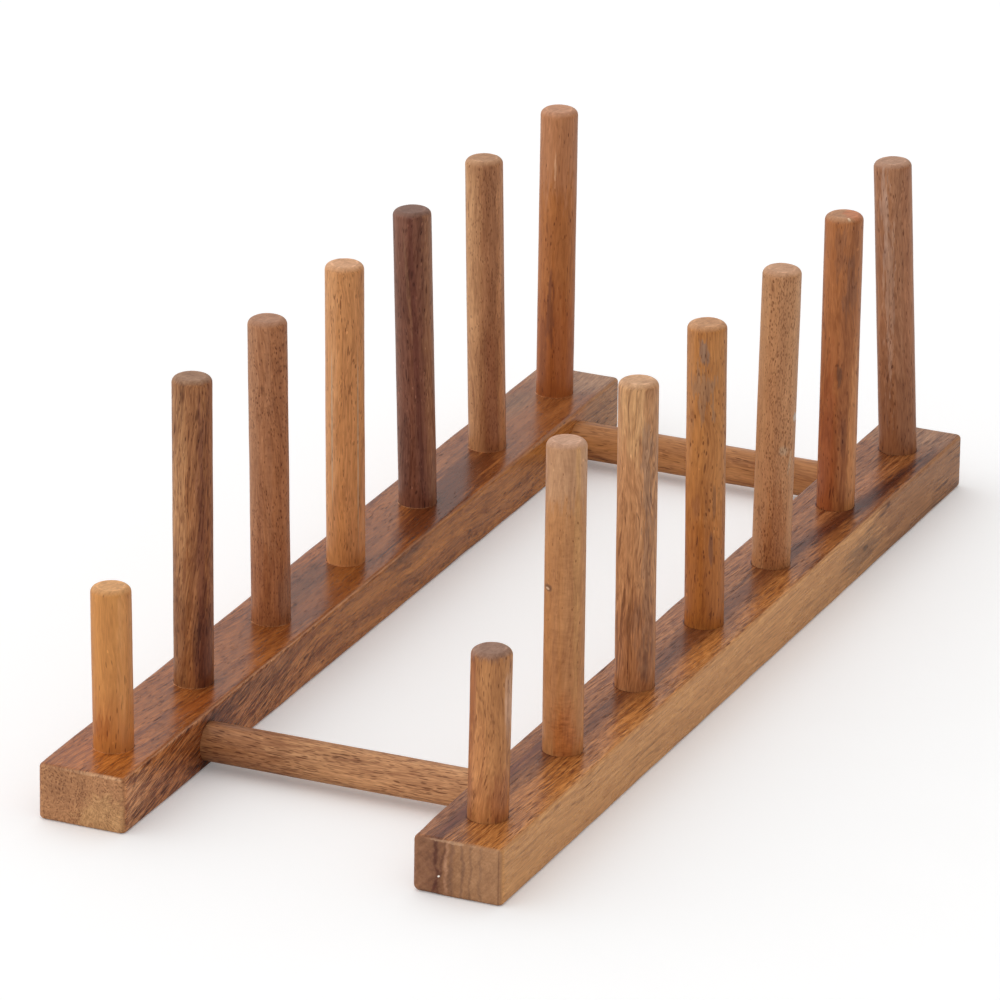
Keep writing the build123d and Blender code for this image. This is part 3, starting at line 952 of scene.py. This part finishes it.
def eased_bar(name, low, high, corner, edge, seed, wear):
    """Bar with round upright corners and hand-eased top and bottom edges, as a mesh.

    Wear is how much more the edges are eased near the left corner of the front end.
    """
    middle = (low + high) / 2
    half = (high - low) / 2
    outline = rounded_outline(half.x, half.y, corner)
    count = len(outline)
    easings = edge_easings(outline, half, corner, edge, seed, wear)
    angles = [math.pi / 2 * step / CORNER_STEPS for step in range(CORNER_STEPS + 1)]
    levels = [(-1, angle) for angle in angles] + [(1, angle) for angle in reversed(angles)]
    verts, faces, strips = [], [], []
    for side, angle in levels:
        for (arc_middle, out, _), ease in zip(outline, easings):
            flat = arc_middle + out * (corner - ease * (1 - math.sin(angle)))
            rise = half.z - ease * (1 - math.cos(angle))
            verts.append(Vector((middle.x + flat.x, middle.y + flat.y, middle.z + side * rise)))
    for level in range(len(levels) - 1):
        faces += ring_faces(level * count, (level + 1) * count, count)

    # A narrow flat border keeps the top and the underside flat up to their eased edges, and
    # strips across the bar fill the rest, narrow enough that every bore cuts through several
    border = corner + BORDER_WIDTH
    for level, order in ((0, -1), (len(levels) - 1, 1)):
        base = len(verts)
        for arc_middle, out, at_corner in outline:
            if at_corner.length:
                flat = arc_middle - at_corner * (border - corner + BORDER_CORNER) + out * BORDER_CORNER
            else:
                flat = arc_middle + out * (corner - border)
            verts.append(Vector((middle.x + flat.x, middle.y + flat.y, verts[level * count].z)))
        faces += [quad[::order] for quad in ring_faces(level * count, base, count)]
        for index in range(count // 2 - 1):
            right, left = CORNER_STEPS - index, CORNER_STEPS + 1 + index
            strips.append(tuple(base + point % count for point in (right - 1, right, left, left + 1))[::order])
    mesh = bpy.data.meshes.new(name)
    mesh.from_pydata([tuple(v) for v in verts], [], faces + strips)
    mesh.polygons.foreach_set("use_smooth", [True] * len(faces) + [False] * len(strips))
    return mesh


# Operators

def stain_colour(pieces):
    """Property for a stain laid over the wood of some pieces."""
    return FloatVectorProperty(
        name=pieces + " stain", description="Colour laid over this wood; white leaves it as it is",
        default=(1.0, 1.0, 1.0), min=0.0, max=1.0, subtype="COLOR")


class PlateStandFinish(bpy.types.PropertyGroup):
    """Sizes and colours that a maker may change. The stains are named after the wood's slots."""
    tip_rounding: FloatProperty(
        name="Peg tip rounding", description="Radius of a peg's rounded tip", default=2.0 * MM, unit="LENGTH")
    foot_bevel: FloatProperty(
        name="Foot bevel", description="Bevel on the hidden end of a dowel", default=0.8 * MM, unit="LENGTH")
    unevenness: FloatProperty(
        name="Unevenness", description="How far a hand-sanded dowel strays from round", default=0.12 * MM,
        unit="LENGTH")
    joint_line: FloatProperty(
        name="Joint line", description="Open line round a dowel where it enters a rail", default=0.1 * MM,
        unit="LENGTH")
    edge_easing: FloatProperty(
        name="Rail edge easing", description="Radius of the rails' eased edges", default=1.2 * MM, unit="LENGTH")
    corner_radius: FloatProperty(
        name="Rail corner radius", description="Radius of the upright corners of a rail's ends",
        default=2.0 * MM, unit="LENGTH")
    sides: IntProperty(name="Dowel sides", description="Faces round a dowel", default=96, min=12)
    rings: IntProperty(name="Dowel rings", description="Rings of points along a dowel", default=128, min=16)
    rail_wood: stain_colour("Rail")
    rod_wood: stain_colour("Cross rod")
    honey_wood: stain_colour("Honey peg")
    tan_wood: stain_colour("Tan peg")
    red_wood: stain_colour("Red peg")
    dark_wood: stain_colour("Dark peg")
    floor_colour: FloatVectorProperty(
        name="Floor colour", description="Colour of the floor under the stand",
        default=(0.9, 0.9, 0.9), min=0.0, max=1.0, subtype="COLOR")
    room_light: FloatProperty(
        name="Room light", description="How bright the white room is, 1 being plain daylight", default=1.0,
        min=0.0, subtype="FACTOR")


def shared_trees():
    """Node groups and the dowel tree, made once."""
    makers = {"acacia": ("Acacia", acacia_group), "end": ("End grain", end_grain_group),
              "dowel": ("Dowel", dowel_tree)}
    return {key: bpy.data.node_groups.get(label) or make() for key, (label, make) in makers.items()}


def grain_matrix(turn, origin):
    """Object metres to grain millimetres: turned, with the origin moved to zero."""
    return Matrix.Translation(-(turn @ (origin / MM))) @ turn


def turned_piece(node, look, tip, turn, to_grain, end_at):
    """Peg or rod in place of its CAD node, in its own wood."""
    finish = bpy.context.scene.plate_stand
    trees = shared_trees()
    middle, direction, low, high = axis_of(node)
    material = wood_material(node + "_wood", look, to_grain, end_at, trees, getattr(finish, SLOTS[node]))
    piece = dowel(node + "_turned", trees["dowel"], {
        "Length": high - low, "Radius": radius_of(node), "Tip Rounding": tip, "Foot Bevel": finish.foot_bevel,
        "Sides": finish.sides, "Rings": finish.rings, "Unevenness": finish.unevenness,
        "Seed": look["seed"] * UNEVEN_SEED, "Place": tuple(middle + direction * low), "Turn": tuple(turn),
        "Material": material})
    finish_piece(piece, node)


class STAND_OT_pegs(bpy.types.Operator):
    """Make every upright peg"""
    bl_idname = "stand.pegs"
    bl_label = "Pegs"

    def execute(self, context):
        tip = context.scene.plate_stand.tip_rounding
        to_view = Matrix.Rotation(-math.radians(VIEW_AZIMUTH), 4, "Z")
        for node in PEGS:
            middle, direction, _, high = axis_of(node)
            turn = Vector((0, 0, 1)).rotation_difference(direction).to_euler()
            # Grain space starts where the peg leaves the rail, with X to the right in the main view
            root = middle + direction * ((RAIL_TOP - middle.z) / direction.z)
            rise = (middle + direction * high - root).length / MM
            look = {"rise": rise, "rim": (radius_of(node) - tip) / MM, **LOOKS[node]}
            to_grain = grain_matrix(to_view @ turn.to_matrix().to_4x4().inverted(), root)
            turned_piece(node, look, tip, turn, to_grain, rise)
        return {"FINISHED"}


class STAND_OT_rods(bpy.types.Operator):
    """Make the two cross rods"""
    bl_idname = "stand.rods"
    bl_label = "Cross rods"

    def execute(self, context):
        for node in RODS:
            to_grain = grain_matrix(Matrix.Rotation(-math.pi / 2, 4, "Y"), axis_of(node)[0])
            turned_piece(node, LOOKS[node], context.scene.plate_stand.foot_bevel, (0.0, math.pi / 2, 0.0), to_grain,
                         HIDDEN_END)
        return {"FINISHED"}


def bore_cutters(rail, finish, trees):
    """Dowels a hair larger than the pegs and rods, where they enter a rail."""
    rail_low, rail_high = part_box(rail)
    deeper = 0.5 * MM
    cutters = []
    for node in PEGS + RODS:
        low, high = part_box(node)
        if low.x > rail_high.x or high.x < rail_low.x:
            continue
        middle, direction, start, end = axis_of(node)
        turn = Vector((0, 0, 1)).rotation_difference(direction).to_euler()
        cutters.append(dowel("cutter_" + node, trees["dowel"], {
            "Length": end - start + 2 * deeper, "Radius": radius_of(node) + finish.joint_line,
            "Tip Rounding": 0.0, "Foot Bevel": 0.0, "Sides": finish.sides, "Rings": BORE_RINGS, "Unevenness": 0.0,
            "Place": tuple(middle + direction * (start - deeper)), "Turn": tuple(turn)}))
    return cutters


class STAND_OT_rails(bpy.types.Operator):
    """Make the two rails, bored for their pegs and rods"""
    bl_idname = "stand.rails"
    bl_label = "Rails"

    def execute(self, context):
        finish = context.scene.plate_stand
        trees = shared_trees()
        for node in RAILS:
            look = LOOKS[node]
            low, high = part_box(node)
            middle = Vector(((low.x + high.x) / 2, 0, high.z))
            rail = new_object(node + "_bar", eased_bar(
                node, low, high, finish.corner_radius, finish.edge_easing, look["seed"], look.get("wear", 0.1)))
            cutters = bore_cutters(node, finish, trees)
            for cutter in cutters:
                cut = rail.modifiers.new("Bore", "BOOLEAN")
                cut.operation = "DIFFERENCE"
                cut.solver = "EXACT"
                cut.object = cutter
            settle(rail)
            for cutter in cutters:
                bpy.data.objects.remove(cutter)
            rail.data.set_sharp_from_angle(angle=SHARP_ANGLE)
            to_grain = grain_matrix(Matrix.Rotation(math.pi / 2, 4, "X"), middle)
            rail.data.materials.clear()
            rail.data.materials.append(wood_material(
                node + "_wood", look, to_grain, high.y / MM, trees, getattr(finish, SLOTS[node])))
            finish_piece(rail, node)
        return {"FINISHED"}


class STAND_OT_stage(bpy.types.Operator):
    """Set the floor, the light and the camera"""
    bl_idname = "stand.stage"
    bl_label = "Stage"

    def execute(self, context):
        scene = context.scene
        scene.view_settings.view_transform = "Standard"
        add_floor(scene.plate_stand.floor_colour)
        add_light(scene, scene.plate_stand.room_light)
        add_camera(scene)
        return {"FINISHED"}


def seen_as(net, plain, glossy):
    """Level that a glossy reflection sees another way, and what tells that the camera is looking."""
    rays = net.add("ShaderNodeLightPath").outputs
    return net.step(rays["Is Glossy Ray"], 0.0, 1.0, plain, glossy), rays["Is Camera Ray"]


def add_floor(colour):
    """Plain pale floor that keeps the stand's shadow. The camera sees it nearly white."""
    reach, grain, grain_tone = 6.0, 900.0, 0.004
    for_camera, lift_for_camera, for_gloss = 1.0944, 0.12, 0.6
    mesh = bpy.data.meshes.new("floor")
    corners = [(-reach, -reach, 0), (reach, -reach, 0), (reach, reach, 0), (-reach, reach, 0)]
    mesh.from_pydata(corners, [], [(0, 1, 2, 3)])
    floor = new_object("floor", mesh)
    material = bpy.data.materials.new("white_paper")
    net = empty_net(material)
    fine = net.noise(net.scaled(net.add("ShaderNodeTexCoord").outputs["Object"], grain))
    level, seen = seen_as(net, 1.0, for_gloss)
    shade = net.times(net.step(seen, 0.0, 1.0, 1.0, for_camera), level)
    shade = net.plus(shade, net.times(net.minus(fine, 0.5), grain_tone))
    paper = net.add("ShaderNodeBsdfDiffuse", {"Color": net.scaled(tuple(colour), shade)})
    lift = net.add("ShaderNodeEmission", {"Color": (1, 1, 1, 1), "Strength": net.times(seen, lift_for_camera)})
    both = net.add("ShaderNodeAddShader", {0: paper.outputs[0], 1: lift.outputs[0]})
    net.add("ShaderNodeOutputMaterial", {"Surface": both.outputs[0]})
    floor.data.materials.append(material)


def add_light(scene, brightness):
    """White room, a little brighter from the left, the back and above than from the camera's side."""
    all_round, from_left, from_back, from_above, for_gloss = 0.88, 0.46, 0.24, 0.06, 0.62
    world = bpy.data.worlds.new("white_room")
    scene.world = world
    net = empty_net(world)
    direction = net.add("ShaderNodeTexCoord").outputs["Generated"]
    azimuth = math.radians(VIEW_AZIMUTH)
    left = net.vector("DOT_PRODUCT", direction, (-math.cos(azimuth), -math.sin(azimuth), 0.0))
    back = net.vector("DOT_PRODUCT", direction, (-math.sin(azimuth), math.cos(azimuth), 0.0))
    up = net.vector("DOT_PRODUCT", direction, (0.0, 0.0, 1.0))
    room = net.plus(all_round, net.times(left, from_left), net.times(back, from_back), net.times(up, from_above))
    level, seen = seen_as(net, brightness, for_gloss * brightness)
    strength = net.plus(seen, net.times(net.minus(1.0, seen), net.times(room, level)))
    shader = net.add("ShaderNodeBackground", {"Color": (1, 1, 1, 1), "Strength": strength})
    net.add("ShaderNodeOutputWorld", {"Surface": shader.outputs[0]})


def add_camera(scene):
    """Long lens looking down on the stand from the front, to its right."""
    turn = (Matrix.Rotation(math.radians(VIEW_AZIMUTH), 4, "Z")
            @ Matrix.Rotation(math.pi / 2 - math.radians(VIEW_ELEVATION), 4, "X")
            @ Matrix.Rotation(math.radians(VIEW_ROLL), 4, "Z"))
    camera = bpy.data.objects.new("camera", bpy.data.cameras.new("camera"))
    scene.collection.objects.link(camera)
    camera.data.sensor_width = SENSOR
    camera.data.lens = LENS
    camera.data.clip_end = 100.0
    camera.matrix_world = (
        Matrix.Translation(VIEW_AIM) @ turn @ Matrix.Translation((0, 0, VIEW_DISTANCE)))
    scene.camera = camera


class STAND_PT_panel(bpy.types.Panel):
    """Lists the steps that build the plate stand"""
    bl_label = "Plate stand"
    bl_idname = "STAND_PT_panel"
    bl_space_type = "VIEW_3D"
    bl_region_type = "UI"
    bl_category = "Plate stand"

    def draw(self, context):
        finish = context.scene.plate_stand
        for name in PlateStandFinish.__annotations__:
            self.layout.prop(finish, name)
        for step in STEPS:
            self.layout.operator(step.bl_idname)


STEPS = (STAND_OT_rails, STAND_OT_rods, STAND_OT_pegs, STAND_OT_stage)
CLASSES = (PlateStandFinish, *STEPS, STAND_PT_panel)


def register():
    for cls in CLASSES:
        bpy.utils.register_class(cls)
    bpy.types.Scene.plate_stand = PointerProperty(type=PlateStandFinish)


def unregister():
    del bpy.types.Scene.plate_stand
    for cls in reversed(CLASSES):
        bpy.utils.unregister_class(cls)


def main():
    register()
    bpy.ops.stand.rails()
    bpy.ops.stand.rods()
    bpy.ops.stand.pegs()
    bpy.ops.stand.stage()


if __name__ == "__main__":
    main()
